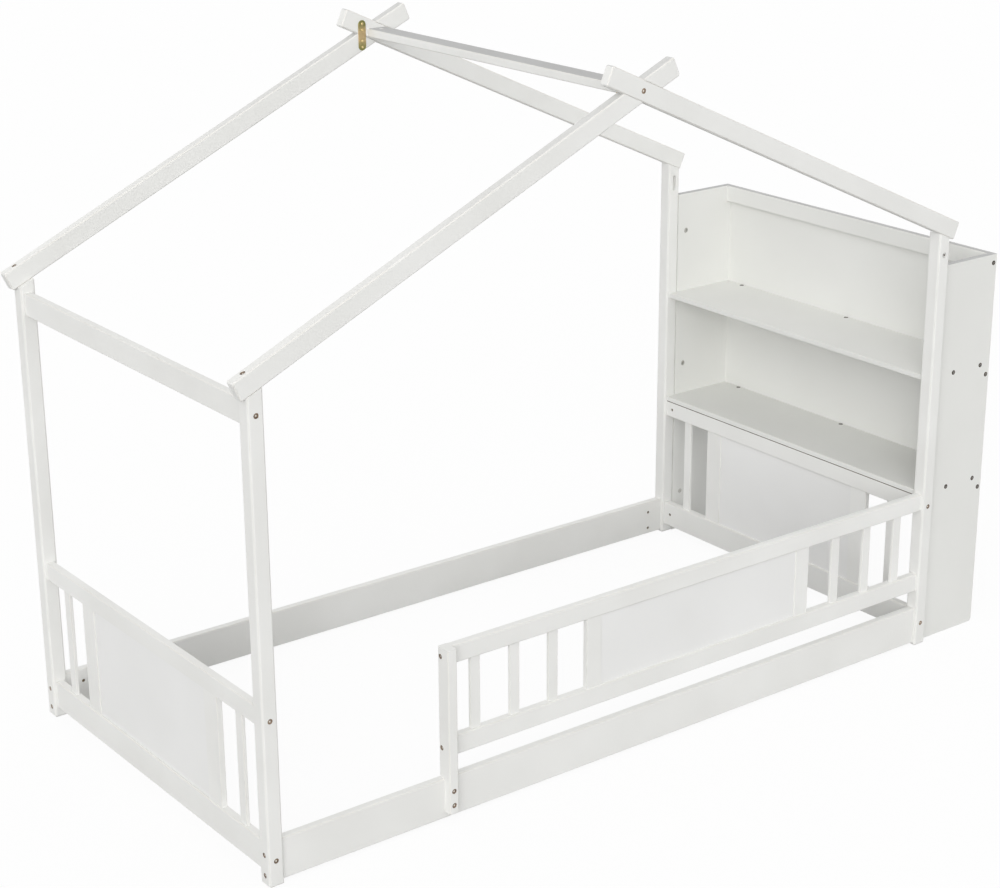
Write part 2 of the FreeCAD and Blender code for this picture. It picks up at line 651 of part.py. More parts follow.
# Guard post: notched over the side rail, its lip bolted to the rail's outer face
guard_post = new_body("guard_post", ("guard_face", "near_face - guard_proud", "guard_lip_low"))
notch_height = "side_rail_high - guard_lip_low"
post_height = "guard_high - guard_lip_low"
post_deep = "guard_lip + rail_thick"
guard_sketch = polygon(guard_post, "YZ_Plane", (
    ("0", "0"), ("guard_lip", "0"), ("guard_lip", notch_height), (post_deep, notch_height),
    (post_deep, post_height), ("0", post_height)))
extrude(guard_post, "Pad", guard_sketch, "guard_post_wide")
lip_height = number(notch_height)
upright_edge = runs_along(Vector(0, 0, 1))
soften(guard_post, lambda edge: upright_edge(edge) and edge.Length > lip_height,
       "Chamfer", "guard_post_bevel")
guard_middle = "guard_face + guard_post_wide / 2"
for step in range(2):
    height = "guard_bolt_low + %d * guard_bolt_rise" % step
    bolt_line("guard_post_bolts", (guard_middle, "near_face - guard_proud", height), "+y",
              "guard_lip + insert_long", (guard_post, side_rails["near"]))
    insert_nut(side_rails["near"], (guard_middle, "near_face + rail_inset", height), "+y")

# Guard rails: between the guard post and the near head post
GUARD_REACH = "guard_post_wide + rail_nut_set + nut_wide / 2 + bolt_past"


def guard_rail(label, low, tall):
    line = "%s + %s / 2" % (low, tall)
    rail = board(label, ("guard_inner", "near_face + rail_inset", low),
                 ("guard_run", "rail_thick", tall), "x", "rail_bevel")
    join(rail, guard_post, ("guard_inner", "near_line", line), tall, "-x")
    join(rail, head_post_near, ("head_inner", "near_line", line), tall, "+x")
    bolt_line("guard_rail_bolts", ("guard_face", "near_line", line), "+x", GUARD_REACH, (guard_post, rail))
    bolt_line("frame_bolts", ("head_face", "near_line", line), "-x", RAIL_REACH, (head_post_near, rail))
    nut_face = "near_line + rail_thick / 2"
    barrel_nut(rail, ("guard_inner + rail_nut_set", nut_face, line), "-y", "+x")
    barrel_nut(rail, ("head_inner - rail_nut_set", nut_face, line), "-y", "-x")
    return rail


guard_rails = (guard_rail("guard_bottom_rail", "guard_bottom_low", "guard_bottom_tall"), "guard_bottom_high",
               guard_rail("guard_top_rail", "guard_top_low", "guard_top_tall"), "guard_top_low")

# Guard filling: three spindles, a framed panel and three spindles
SPINDLES_EACH_SIDE = 3
spindle_face = "near_line - spindle_thick / 2"
stile_face = "near_line - stile_thick / 2"
for step in range(SPINDLES_EACH_SIDE):
    run = "%d * (spindle_wide + guard_gap)" % step
    upright("guard_spindle_%d" % (step + 1), ("guard_inner + guard_foot_gap + %s" % run, spindle_face),
            "spindle_wide", "spindle_thick", "x", guard_rails, "spindle_bevel")
    upright("guard_spindle_%d" % (2 * SPINDLES_EACH_SIDE - step),
            ("head_inner - guard_head_gap - %s - spindle_wide" % run, spindle_face),
            "spindle_wide", "spindle_thick", "x", guard_rails, "spindle_bevel")
spindle_run = "%d * (spindle_wide + guard_gap)" % SPINDLES_EACH_SIDE
foot_set = "guard_foot_gap + %s" % spindle_run
head_set = "guard_head_gap + %s" % spindle_run
guard_stiles = (
    upright("guard_stile_foot", ("guard_inner + %s" % foot_set, stile_face),
            "guard_stile_wide", "stile_thick", "x", guard_rails, "stile_bevel"),
    upright("guard_stile_head", ("head_inner - (%s) - guard_stile_wide" % head_set, stile_face),
            "guard_stile_wide", "stile_thick", "x", guard_rails, "stile_bevel"),
)
panel("guard_panel",
      ("guard_inner + %s + guard_stile_wide - groove_deep" % foot_set, "near_line - panel_thick / 2"),
      "guard_run - (%s) - (%s) - 2 * (guard_stile_wide - groove_deep)" % (foot_set, head_set),
      "x", guard_rails, guard_stiles)

# Bookcase: two sides locked to the head posts with cams, two shelves, three back rails and a back panel
CASE_OUTLINE = (("0", "0"), ("case_deep", "0"), ("case_deep", "case_tall"), ("0", "case_tall"))
CASE_SIDES = (
    ("near", "near_inner - case_side_thick", "near_inner", "near_inner - case_side_thick",
     head_post_near, "-y", "+y"),
    ("far", "far_inner", "far_inner", "far_inner + case_side_thick",
     head_post_far, "+y", "-y"),
)
case_deep = number("case_deep")


def lower_back_corner(edge):
    return all(abs(corner.X - case_deep) + abs(corner.Z) < SAME_LENGTH for corner in edge.Vertexes)


case_sides = []
for side, start, inner, outer, post, way, into in CASE_SIDES:
    body = new_body("bookcase_side_" + side, ("head_face", start, "0"))
    extrude(body, "Pad", polygon(body, "XZ_Plane", CASE_OUTLINE), "case_side_thick", True)
    soften(body, lower_back_corner, "Fillet", "case_corner_round")
    case_sides.append((body, outer, into))
    line = "(%s + %s) / 2" % (inner, outer)
    for height in ("low_cam_height", "middle_cam_height", "high_cam_height"):
        cam_mouth = ("head_face + cam_set", inner, height)
        seat = ("head_face", line, height)
        drill(body, cam_mouth, way, "cam_wide + 2 * fit", "cam_deep", HEAD_SIDES)
        drill(body, seat, "+x", "cam_bolt_wide + 2 * fit", "cam_set")
        drill(post, seat, "-x", "cam_bolt_wide + 2 * fit", "cam_bolt_grip")
        front = point_at(("head_face - cam_bolt_grip", line, height))
        keep("cam_bolts", put(bar("cam_bolt_wide", "cam_bolt_grip + cam_set"), front, "+x"))
        cam = put(bar("cam_wide", "cam_deep", HEAD_SIDES), point_at(cam_mouth), way)
        keep("cam_locks", cam.cut(put(bar("cam_bolt_wide + 2 * fit", "cam_set + fit"), point_at(seat), "+x")))

SHELF_SCREWS = ("near_inner + shelf_screw_set", "near_inner + clear_width / 2", "far_inner - shelf_screw_set")
CASE_LEVELS = (
    ("top", None, "case_tall"),
    ("middle", "upper", "upper_shelf_low"),
    ("lower", "lower", "top_rail_high"),
)
for level, shelf_name, rail_high in CASE_LEVELS:
    back_rail = board("bookcase_%s_back_rail" % level,
                      ("back_front - case_rail_thick", "near_inner", "%s - case_rail_tall" % rail_high),
                      ("case_rail_thick", "clear_width", "case_rail_tall"), "y", "shelf_bevel")
    for body, outer, into in case_sides:
        screw_line(("case_rail_line", outer, "%s - case_rail_tall / 2" % rail_high), into, (body, back_rail))
    if shelf_name is None:
        continue
    shelf = board("bookcase_%s_shelf" % shelf_name, ("shelf_front", "near_inner", rail_high),
                  ("back_front - shelf_front", "clear_width", "shelf_thick"), "y", "shelf_bevel")
    shelf_line = "%s + shelf_thick / 2" % rail_high
    for body, outer, into in case_sides:
        for screw_set in ("front_screw_set", "rear_screw_set"):
            screw_line(("head_face + %s" % screw_set, outer, shelf_line), into, (body, shelf))
    for place in SHELF_SCREWS:
        screw_line(("case_rail_line", place, "%s + shelf_thick" % rail_high), "-z", (shelf, back_rail))
board("bookcase_back_panel", ("back_front", "near_inner", "top_rail_high - case_rail_tall"),
      ("back_thick", "clear_width", "case_tall - top_rail_high + case_rail_tall"), "y")

# Fasteners of one kind are one node of separate solids
for label, shapes in groups.items():
    node = doc.addObject("Part::Feature", label)
    node.Label = label
    node.Shape = Part.makeCompound(shapes)
    node.Placement = Placement()

# Nothing is written unless every feature is sound and every cut has taken wood away
CUTS = ("PartDesign::Pocket", "PartDesign::SubtractivePrism", "PartDesign::SubtractiveBox")
doc.recompute()
for item in doc.Objects:
    if "Invalid" in item.State or "Error" in item.State:
        raise RuntimeError("failed: %s %s" % (item.Label, item.State))
    if item.TypeId in CUTS and item.Shape.Volume >= item.BaseFeature.Shape.Volume:
        raise RuntimeError("cuts nothing: " + item.Label)
nodes = [item for item in doc.Objects if item.TypeId in ("PartDesign::Body", "Part::Feature")
         and item.Label in set(bases) | set(groups)]
for node in nodes:
    if node.Shape.isNull() or not node.Shape.isValid():
        raise RuntimeError("bad shape: " + node.Label)
    if node.Label in bases and len(node.Shape.Solids) != 1:
        raise RuntimeError("not one solid: " + node.Label)

os.makedirs("parts", exist_ok=True)
for node in nodes:
    node.Shape.exportStep("parts/%s.step" % node.Label)
print(len(nodes), "nodes")
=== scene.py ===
import math

import bpy
import numpy as np
from mathutils import Euler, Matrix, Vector


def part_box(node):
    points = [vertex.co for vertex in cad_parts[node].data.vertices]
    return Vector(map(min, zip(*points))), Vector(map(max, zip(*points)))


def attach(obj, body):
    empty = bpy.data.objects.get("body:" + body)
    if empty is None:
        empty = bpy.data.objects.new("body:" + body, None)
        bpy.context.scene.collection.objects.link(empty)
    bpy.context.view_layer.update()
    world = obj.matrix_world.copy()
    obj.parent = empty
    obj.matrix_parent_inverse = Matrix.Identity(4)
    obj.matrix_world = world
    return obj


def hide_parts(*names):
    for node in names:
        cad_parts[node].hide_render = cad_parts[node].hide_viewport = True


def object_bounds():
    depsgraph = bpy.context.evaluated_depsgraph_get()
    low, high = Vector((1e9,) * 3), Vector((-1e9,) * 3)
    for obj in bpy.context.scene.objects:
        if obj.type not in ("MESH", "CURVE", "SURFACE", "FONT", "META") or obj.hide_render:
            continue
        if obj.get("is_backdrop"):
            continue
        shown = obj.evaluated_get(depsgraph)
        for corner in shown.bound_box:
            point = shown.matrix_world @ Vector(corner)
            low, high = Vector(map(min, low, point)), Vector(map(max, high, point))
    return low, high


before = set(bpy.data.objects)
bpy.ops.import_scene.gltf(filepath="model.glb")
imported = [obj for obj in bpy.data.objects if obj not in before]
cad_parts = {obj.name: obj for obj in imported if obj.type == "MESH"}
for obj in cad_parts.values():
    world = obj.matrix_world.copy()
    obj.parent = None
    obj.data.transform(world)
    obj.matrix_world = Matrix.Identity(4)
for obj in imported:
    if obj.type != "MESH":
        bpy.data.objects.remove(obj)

cad_low, cad_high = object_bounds()

# Corner posts
# Four square pine posts with rounded edges, sanded and sprayed white. The rails are bolted into them,
# and the rafters sit on their sloping tops.
POST_NODES = ("foot_post_near", "foot_post_far", "head_post_near", "head_post_far")
PAINT_LIGHT = (0.843, 0.843, 0.822, 1.0)
PAINT_SHADE = (0.797, 0.796, 0.772, 1.0)
# Colour of the bevelled edges: partly paint worn thin, partly painted shade over their highlight.
PAINT_WORN_AND_SHADED = (0.735, 0.715, 0.672, 1.0)
PAINT_SMOOTH = 0.55
PAINT_ROUGH = 0.66
PAINT_CLOUD = 0.22
CLOUD_FROM = 0.35
CLOUD_TO = 0.68
PATTERN_LOW = 0.3
PATTERN_HIGH = 0.7
SEED_SPREAD = 43.0
BEVEL_FROM = 0.86
BEVEL_TO = 0.72
WEAR_AND_SHADE_FROM = 0.4
WEAR_AND_SHADE_TO = 0.7
PINE_WEAR_AND_SHADE_LEAST = 0.35
PINE_WEAR_AND_SHADE_MOST = 0.95
FIBRE_LONG = 0.55
FIBRE_WIDE = 0.011
FIBRE_DEEP = 0.0006
FIBRE_STRENGTH = 0.14
PORE_LONG = 0.05
PORE_WIDE = 0.0013
PORE_DEEP = 0.0004
PORE_STRENGTH = 0.1
PAINT_PEEL = 0.0028
PEEL_DEEP = 0.0004
PEEL_STRENGTH = 0.08


def add_node(tree, kind, settings=(), inputs=()):
    """A shader node with its settings made; an input is a value or the socket that feeds it."""
    made = tree.nodes.new("ShaderNode" + kind)
    for name, value in settings:
        setattr(made, name, value)
    for name, value in inputs:
        if isinstance(value, bpy.types.NodeSocket):
            tree.links.new(value, made.inputs[name])
        else:
            made.inputs[name].default_value = value
    return made


def blank_material(name):
    material = bpy.data.materials.new(name)
    material.use_nodes = True
    tree = material.node_tree
    return material, tree, tree.nodes["Principled BSDF"]


def combine(tree, how, first, second):
    return add_node(tree, "Math", [("operation", how)], [(0, first), (1, second)]).outputs["Value"]


def noise(tree, vector, seed, size, detail=3.0, rough=0.5, twist=0.0):
    """Cloudy pattern whose features are about this size, different on each board."""
    return add_node(tree, "TexNoise", [("noise_dimensions", "4D")], [
        ("Vector", vector), ("W", seed), ("Scale", 1.0 / size), ("Detail", detail), ("Roughness", rough),
        ("Distortion", twist)]).outputs["Fac"]


def stretched(tree, place, size, turn=(0.0, 0.0, 0.0)):
    """Coordinates in which one unit is as long as size, along axes turned that far."""
    return add_node(tree, "Mapping", [("vector_type", "TEXTURE")], [
        ("Vector", place), ("Rotation", turn), ("Scale", size)]).outputs["Vector"]


def blend_by(tree, amount, low, high, first, second):
    """Colours from first to second while amount goes from low to high."""
    ramp = add_node(tree, "ValToRGB", (), [("Fac", amount)])
    ramp.color_ramp.elements[0].position = low
    ramp.color_ramp.elements[0].color = first
    ramp.color_ramp.elements[1].position = high
    ramp.color_ramp.elements[1].color = second
    return ramp.outputs["Color"]


def mix_colours(tree, share, first, second):
    return add_node(tree, "Mix", [("data_type", "RGBA")], [(0, share), (6, first), (7, second)]).outputs[2]


def range_by(tree, amount, low, high, first, second):
    """A number from first to second while amount goes from low to high."""
    return add_node(tree, "MapRange", (), [
        ("Value", amount), ("From Min", low), ("From Max", high), ("To Min", first), ("To Max", second)]
    ).outputs["Result"]


def set_gloss(tree, shader, pattern, first, last):
    """Roughness from first to last over the middle of a pattern."""
    gloss = range_by(tree, pattern, PATTERN_LOW, PATTERN_HIGH, first, last)
    tree.links.new(gloss, shader.inputs["Roughness"])


def relief(tree, pattern, strength, deep, under=None):
    """Surface normal of a pattern this deep, laid over the relief under it."""
    inputs = [("Strength", strength), ("Distance", deep), ("Height", pattern)]
    if under:
        inputs.append(("Normal", under))
    return add_node(tree, "Bump", (), inputs).outputs["Normal"]


def board_seed(tree):
    return combine(tree, "MULTIPLY", add_node(tree, "ObjectInfo").outputs["Random"], SEED_SPREAD)


def edge_share(tree):
    """How far a spot lies on a bevelled edge: none on flat faces and rafters, all on a bevel."""
    facing = add_node(tree, "VectorMath", [("operation", "ABSOLUTE")], [
        (0, add_node(tree, "NewGeometry").outputs["True Normal"])]).outputs["Vector"]
    parts = add_node(tree, "SeparateXYZ", (), [("Vector", facing)]).outputs
    level = combine(tree, "MAXIMUM", parts["X"], parts["Y"])
    most = combine(tree, "MAXIMUM", level, parts["Z"])
    return range_by(tree, most, BEVEL_FROM, BEVEL_TO, 0.0, 1.0)


def worn_and_shaded_edges(tree, white, pattern, least, most):
    """Darker bevelled edges, partly paint worn thin and partly painted shade over their highlight, by a share
    that the pattern varies from least to most.
    """
    uneven = range_by(tree, pattern, WEAR_AND_SHADE_FROM, WEAR_AND_SHADE_TO, least, most)
    return mix_colours(tree, combine(tree, "MULTIPLY", edge_share(tree), uneven), white, PAINT_WORN_AND_SHADED)


def painted_pine(name, turn):
    """White satin paint through which the pine's fibres still show; turn lays them along the board."""
    material, tree, shader = blank_material(name)
    seed = board_seed(tree)
    place = add_node(tree, "TexCoord").outputs["Object"]
    along_fibres = stretched(tree, place, (FIBRE_LONG, FIBRE_WIDE, FIBRE_WIDE), turn)
    along_pores = stretched(tree, place, (PORE_LONG, PORE_WIDE, PORE_WIDE), turn)
    fibres = noise(tree, along_fibres, seed, 1.0, detail=4.0, rough=0.55, twist=0.35)
    pores = noise(tree, along_pores, seed, 1.0, detail=2.0)
    cloud = noise(tree, place, seed, PAINT_CLOUD, detail=2.0)
    peel = noise(tree, place, seed, PAINT_PEEL, detail=1.0)
    white = blend_by(tree, cloud, CLOUD_FROM, CLOUD_TO, PAINT_SHADE, PAINT_LIGHT)
    colour = worn_and_shaded_edges(tree, white, pores, PINE_WEAR_AND_SHADE_LEAST, PINE_WEAR_AND_SHADE_MOST)
    tree.links.new(colour, shader.inputs["Base Color"])
    set_gloss(tree, shader, fibres, PAINT_SMOOTH, PAINT_ROUGH)
    skin = relief(tree, peel, PEEL_STRENGTH, PEEL_DEEP)
    fine = relief(tree, pores, PORE_STRENGTH, PORE_DEEP, skin)
    grain = relief(tree, fibres, FIBRE_STRENGTH, FIBRE_DEEP, fine)
    tree.links.new(grain, shader.inputs["Normal"])
    return material


def dress(names, material):
    for name in names:
        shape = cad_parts[name].data
        shape.materials.clear()
        shape.materials.append(material)


QUARTER = math.pi / 2
upright_pine = painted_pine("painted_pine_upright", (0.0, QUARTER, 0.0))
dress(POST_NODES, upright_pine)

# Side rails
# Two long pine boards close to the floor between the foot posts and the head posts, painted white.
# Each end is bolted through the post into barrel nuts let into the board's inner face.
lengthwise_pine = painted_pine("painted_pine_lengthwise", (0.0, 0.0, 0.0))
dress(("side_rail_near", "side_rail_far"), lengthwise_pine)

# Footboard and headboard frames
# Each has a top and a bottom rail tenoned and bolted into the posts, and between them two stiles and
# two thin spindles in mortises. All are pine, painted white.
crosswise_pine = painted_pine("painted_pine_crosswise", (0.0, 0.0, QUARTER))
for end in ("footboard", "headboard"):
    dress((end + "_top_rail", end + "_bottom_rail"), crosswise_pine)
    dress([end + "_%s_%s" % (piece, side) for piece in ("stile", "spindle") for side in ("near", "far")],
          upright_pine)

# Footboard, headboard and guard panels
# Thin sheets of fibreboard held in grooves of the rails and stiles. The board has no grain, so the
# sprayed paint shows only its own orange peel and the faint ripple of the roller underneath.
BOARD_LIGHT = (0.835, 0.835, 0.824, 1.0)
BOARD_SHADE = (0.800, 0.799, 0.786, 1.0)
BOARD_SMOOTH = 0.52
BOARD_ROUGH = 0.62
BOARD_CLOUD = 0.3
BOARD_CLOUD_TO = 0.65
BOARD_WEAR_AND_SHADE_LEAST = 0.3
BOARD_WEAR_AND_SHADE_MOST = 0.9
BOARD_PEEL_DEEP = 0.0003
ROLLER_RIPPLE = 0.009
RIPPLE_DEEP = 0.0005
BOARD_STRENGTH = 0.12


def painted_board(name, shade, light):
    """White satin paint, sprayed on fibreboard, between two shades."""
    material, tree, shader = blank_material(name)
    seed = board_seed(tree)
    place = add_node(tree, "TexCoord").outputs["Object"]
    cloud = noise(tree, place, seed, BOARD_CLOUD, detail=2.0)
    ripple = noise(tree, place, seed, ROLLER_RIPPLE, detail=2.0)
    peel = noise(tree, place, seed, PAINT_PEEL, detail=2.0)
    white = blend_by(tree, cloud, CLOUD_FROM, BOARD_CLOUD_TO, shade, light)
    colour = worn_and_shaded_edges(tree, white, peel, BOARD_WEAR_AND_SHADE_LEAST, BOARD_WEAR_AND_SHADE_MOST)
    tree.links.new(colour, shader.inputs["Base Color"])
    set_gloss(tree, shader, ripple, BOARD_SMOOTH, BOARD_ROUGH)
    skin = relief(tree, peel, BOARD_STRENGTH, BOARD_PEEL_DEEP)
    waves = relief(tree, ripple, BOARD_STRENGTH, RIPPLE_DEEP, skin)
    tree.links.new(waves, shader.inputs["Normal"])
    return material


sprayed_board = painted_board("painted_fibreboard", BOARD_SHADE, BOARD_LIGHT)
dress(("footboard_panel", "headboard_panel", "guard_panel"), sprayed_board)

# Roof
# Two pairs of pine rafters cross in half laps over the middle of the bed and run on in short tails.
# A ridge beam joins the two crossings, and a tie beam joins the foot posts under the eaves.
ROOF_PITCH = math.radians(24.5)
TOP_SHADE_LIGHT = (0.480, 0.480, 0.476, 1.0)
TOP_SHADE_DARK = (0.440, 0.440, 0.435, 1.0)
TOP_FROM = 0.8
TOP_TO = 0.88
TOP_SHADE_LOW = 1.22
TOP_SHADE_HIGH = 1.66
TOP_SHADE_MOST = 0.5


def shade_upward_faces(material, low, high, most):
    """Painted shade: greys the faces that look up, from not at all at one height to most at another."""
    tree = material.node_tree
    shader = tree.nodes["Principled BSDF"]
    painted = shader.inputs["Base Color"].links[0].from_socket
    place = add_node(tree, "TexCoord").outputs["Object"]
    facing = add_node(tree, "NewGeometry").outputs["True Normal"]
    rise = add_node(tree, "SeparateXYZ", (), [("Vector", facing)]).outputs["Z"]
    height = add_node(tree, "SeparateXYZ", (), [("Vector", place)]).outputs["Z"]
    top_shade_share = combine(tree, "MULTIPLY", range_by(tree, rise, TOP_FROM, TOP_TO, 0.0, 1.0),
                   range_by(tree, height, low, high, 0.0, most))
    cloud = noise(tree, place, board_seed(tree), PAINT_CLOUD, detail=2.0)
    grey = blend_by(tree, cloud, CLOUD_FROM, CLOUD_TO, TOP_SHADE_DARK, TOP_SHADE_LIGHT)
    tree.links.new(mix_colours(tree, top_shade_share, painted, grey), shader.inputs["Base Color"])


rising_pine = painted_pine("painted_pine_rising", (0.0, -ROOF_PITCH, 0.0))
falling_pine = painted_pine("painted_pine_falling", (0.0, ROOF_PITCH, 0.0))
ridge_pine = painted_pine("painted_pine_ridge", (0.0, 0.0, QUARTER))
# Painted shade: the rafters' tops turn grey towards the ridge, and the ridge beam's top is grey.
shade_upward_faces(rising_pine, TOP_SHADE_LOW, TOP_SHADE_HIGH, TOP_SHADE_MOST)
shade_upward_faces(falling_pine, TOP_SHADE_LOW, TOP_SHADE_HIGH, TOP_SHADE_MOST)
shade_upward_faces(ridge_pine, low=0.0, high=TOP_SHADE_LOW, most=1.0)
dress(("rafter_foot_near", "rafter_foot_far"), rising_pine)
dress(("rafter_head_near", "rafter_head_far"), falling_pine)
dress(("foot_tie_beam",), crosswise_pine)
dress(("ridge_beam",), ridge_pine)

# Guard
# A low guard along the near side: one post notched over the side rail, two rails bolted between it and
# the head post, and stiles and spindles in mortises. All are pine, painted white.
GUARD_SPINDLES = 6
dress(("guard_post",), upright_pine)
dress(("guard_top_rail", "guard_bottom_rail"), lengthwise_pine)
dress(("guard_stile_foot", "guard_stile_head"), upright_pine)
dress(["guard_spindle_%d" % (count + 1) for count in range(GUARD_SPINDLES)], upright_pine)

# Bookcase
# Two fibreboard sides behind the head posts carry two shelves, three rails along the back and a thin
# back panel. The boards are sprayed white and screwed together through the sides.
CASE_LIGHT = (0.784, 0.786, 0.760, 1.0)
CASE_SHADE = (0.756, 0.758, 0.731, 1.0)
TOP_SHADE_CASE_HEIGHT = 1.0
case_board = painted_board("painted_case_board", CASE_SHADE, CASE_LIGHT)
dress(("bookcase_upper_shelf", "bookcase_lower_shelf"), case_board)
dress(("bookcase_middle_back_rail", "bookcase_lower_back_rail"), case_board)
# Painted shade: the upward faces of the sides, back panel and top back rail, their top edges, are grey.
top_shaded_board = painted_board("painted_case_board_top_shade", CASE_SHADE, CASE_LIGHT)
shade_upward_faces(top_shaded_board, low=0.0, high=TOP_SHADE_CASE_HEIGHT, most=1.0)
dress(("bookcase_side_near", "bookcase_side_far"), top_shaded_board)
dress(("bookcase_back_panel", "bookcase_top_back_rail"), top_shaded_board)

# Painted shade in the joint under the lower shelf
# The shelf lies on the headboard's top rail without filler. A thin dark strip laid in the groove between
# their softened front edges, along the whole joint, is painted shade.
JOINT_SET = 0.0005
JOINT_BELOW = 0.0015
JOINT_ABOVE = 0.0007
JOINT_DEEP = 0.0012
BLOCK_FACES = ((0, 1, 3, 2), (4, 6, 7, 5), (0, 4, 5, 1), (2, 3, 7, 6), (0, 2, 6, 4), (1, 5, 7, 3))
SHADE_FILL_LIGHT = (0.15, 0.125, 0.10, 1.0)
SHADE_FILL_DARK = (0.07, 0.058, 0.047, 1.0)
SHADE_FILL_SMOOTH = 0.75
SHADE_FILL_ROUGH = 0.9


def add_piece(name, points, faces, material, node=None):
    """A mesh that belongs to the bed, and the solid that it stands for, if there is one."""
    shape = bpy.data.meshes.new(name)
    shape.from_pydata(points, [], faces)
    shape.materials.append(material)
    piece = bpy.data.objects.new(name, shape)
    bpy.context.scene.collection.objects.link(piece)
    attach(piece, "root")
    if node:
        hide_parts(node)
    return piece


painted_shade_dark, tree, shader = blank_material("painted_shade_dark_fill")
fibres = noise(tree, add_node(tree, "TexCoord").outputs["Object"], board_seed(tree), FIBRE_WIDE)
shade_fill_colour = blend_by(tree, fibres, CLOUD_FROM, BOARD_CLOUD_TO, SHADE_FILL_DARK, SHADE_FILL_LIGHT)
tree.links.new(shade_fill_colour, shader.inputs["Base Color"])
set_gloss(tree, shader, fibres, SHADE_FILL_SMOOTH, SHADE_FILL_ROUGH)
rail_low, rail_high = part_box("headboard_top_rail")
front, seam = rail_low[0] + JOINT_SET, rail_high[2]
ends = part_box("head_post_near")[1][1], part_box("head_post_far")[0][1]
joint_points = [(x, y, z) for x in (front, front + JOINT_DEEP) for y in ends
                for z in (seam - JOINT_BELOW, seam + JOINT_ABOVE)]
add_piece("open_joint", joint_points, BLOCK_FACES, painted_shade_dark)

# Frame bolts
# Steel bolts with round heads and hexagon sockets, bronzed dark, sunk in counterbores just below the
# painted faces. They join rails, rafters and posts.
BOLT_GROUPS = ("side_rail_bolts", "frame_bolts", "rafter_bolts", "guard_rail_bolts", "guard_post_bolts")
BRONZE_LIGHT = (0.33, 0.24, 0.17, 1.0)
BRONZE_DARK = (0.11, 0.080, 0.058, 1.0)
BRONZE_SMOOTH = 0.3
BRONZE_ROUGH = 0.48
METAL_CLOUD = 0.006
METAL_CLOUD_FROM = 0.36
METAL_CLOUD_TO = 0.64
SCRATCH_LONG = 0.006
SCRATCH_WIDE = 0.0003
SCRATCH_DEEP = 0.0001
SCRATCH_STRENGTH = 0.12
POINT_DIGITS = 5
SAME_FACE = 0.0001
BOLT_HEAD = 0.013
BOLT_HEAD_TALL = 0.0045
BOLT_SHANK = 0.006
BOLT_TIP = 0.0042
BOLT_TIP_LONG = 0.0012
BOLT_EDGE = 0.0007
BOLT_CROWN = 0.00042
BOLT_CROWN_LOW = 0.00021
SOCKET_FLATS = 0.005
SOCKET_DEEP = 0.0008
SOCKET_POINT = 0.002
SOCKET_TIP = 0.001
SOCKET_FLOOR = 0.0042
SOCKET_GLINT_LIGHT = (0.80, 0.76, 0.70, 1.0)
SOCKET_GLINT_DULL = (0.60, 0.56, 0.50, 1.0)
SOCKET_SMOOTH = 0.4
SOCKET_ROUGH = 0.6
TURNED_SIDES = 36
SHARP_EDGE = math.radians(35)
CROSS_ARM_SHARE = 1 / 7
SLOT_HALF_SHARE = 1 / 9
LEAST_SINE = 1e-6


def plated_metal(name, bright, dull, smooth, rough):
    """Plated steel: clouded colour, fine drawn scratches and a slightly uneven gloss."""
    material, tree, shader = blank_material(name)
    seed = board_seed(tree)
    place = add_node(tree, "TexCoord").outputs["Object"]
    cloud = noise(tree, place, seed, METAL_CLOUD, rough=0.6)
    drawn = stretched(tree, place, (SCRATCH_LONG, SCRATCH_WIDE, SCRATCH_WIDE))
    scratch = noise(tree, drawn, seed, 1.0, detail=2.0)
    colour = blend_by(tree, cloud, METAL_CLOUD_FROM, METAL_CLOUD_TO, dull, bright)
    tree.links.new(colour, shader.inputs["Base Color"])
    set_gloss(tree, shader, cloud, rough, smooth)
    shader.inputs["Metallic"].default_value = 1.0
    tree.links.new(relief(tree, scratch, SCRATCH_STRENGTH, SCRATCH_DEEP), shader.inputs["Normal"])
    return material


def solids_of(node):
    """The separate solids of a grouped node, each as an array of its corner points."""
    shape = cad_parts[node].data
    keys = [tuple(round(c, POINT_DIGITS) for c in v.co) for v in shape.vertices]
    root = {key: key for key in keys}

    def top(key):
        while root[key] != key:
            root[key] = root[root[key]]
            key = root[key]
        return key

    for face in shape.polygons:
        first = top(keys[face.vertices[0]])
        for corner in face.vertices[1:]:
            root[top(keys[corner])] = first
    groups = {}
    for key in root:
        groups.setdefault(top(key), []).append(key)
    return [np.array(groups[key]) for key in sorted(groups)]


def bolt_line(points):
    """Middle of the head's outer face, direction out of the head, and length of a bolt."""
    middle = (points.max(0) + points.min(0)) / 2
    axis = np.linalg.svd(points - points.mean(0), full_matrices=False)[2][0]
    along = (points - middle) @ axis
    across = np.linalg.norm(points - middle - np.outer(along, axis), axis=1)
    if along[across.argmax()] < 0:
        axis, along = -axis, -along
    tip, head = along.min(), along.max()
    face_middle = points[along > head - SAME_FACE].mean(0)
    return Vector(face_middle), Vector(axis), head - tip


def outline_radius(outline, size, angle):
    """Radius of a round, hexagonal, crossed or slotted outline of this size at an angle."""
    if outline == "hexagon":
        return size / 2 / math.cos((angle + math.pi / 6) % (math.pi / 3) - math.pi / 6)
    if outline == "cross":
        turned = abs((angle + math.pi / 4) % (math.pi / 2) - math.pi / 4)
        return min(size / 2 / math.cos(turned), size * CROSS_ARM_SHARE / max(math.sin(turned), LEAST_SINE))
    if outline == "slot":
        turned = abs((angle + math.pi / 2) % math.pi - math.pi / 2)
        return min(size / 2 / math.cos(turned), size * SLOT_HALF_SHARE / max(math.sin(turned), LEAST_SINE))
    return size / 2


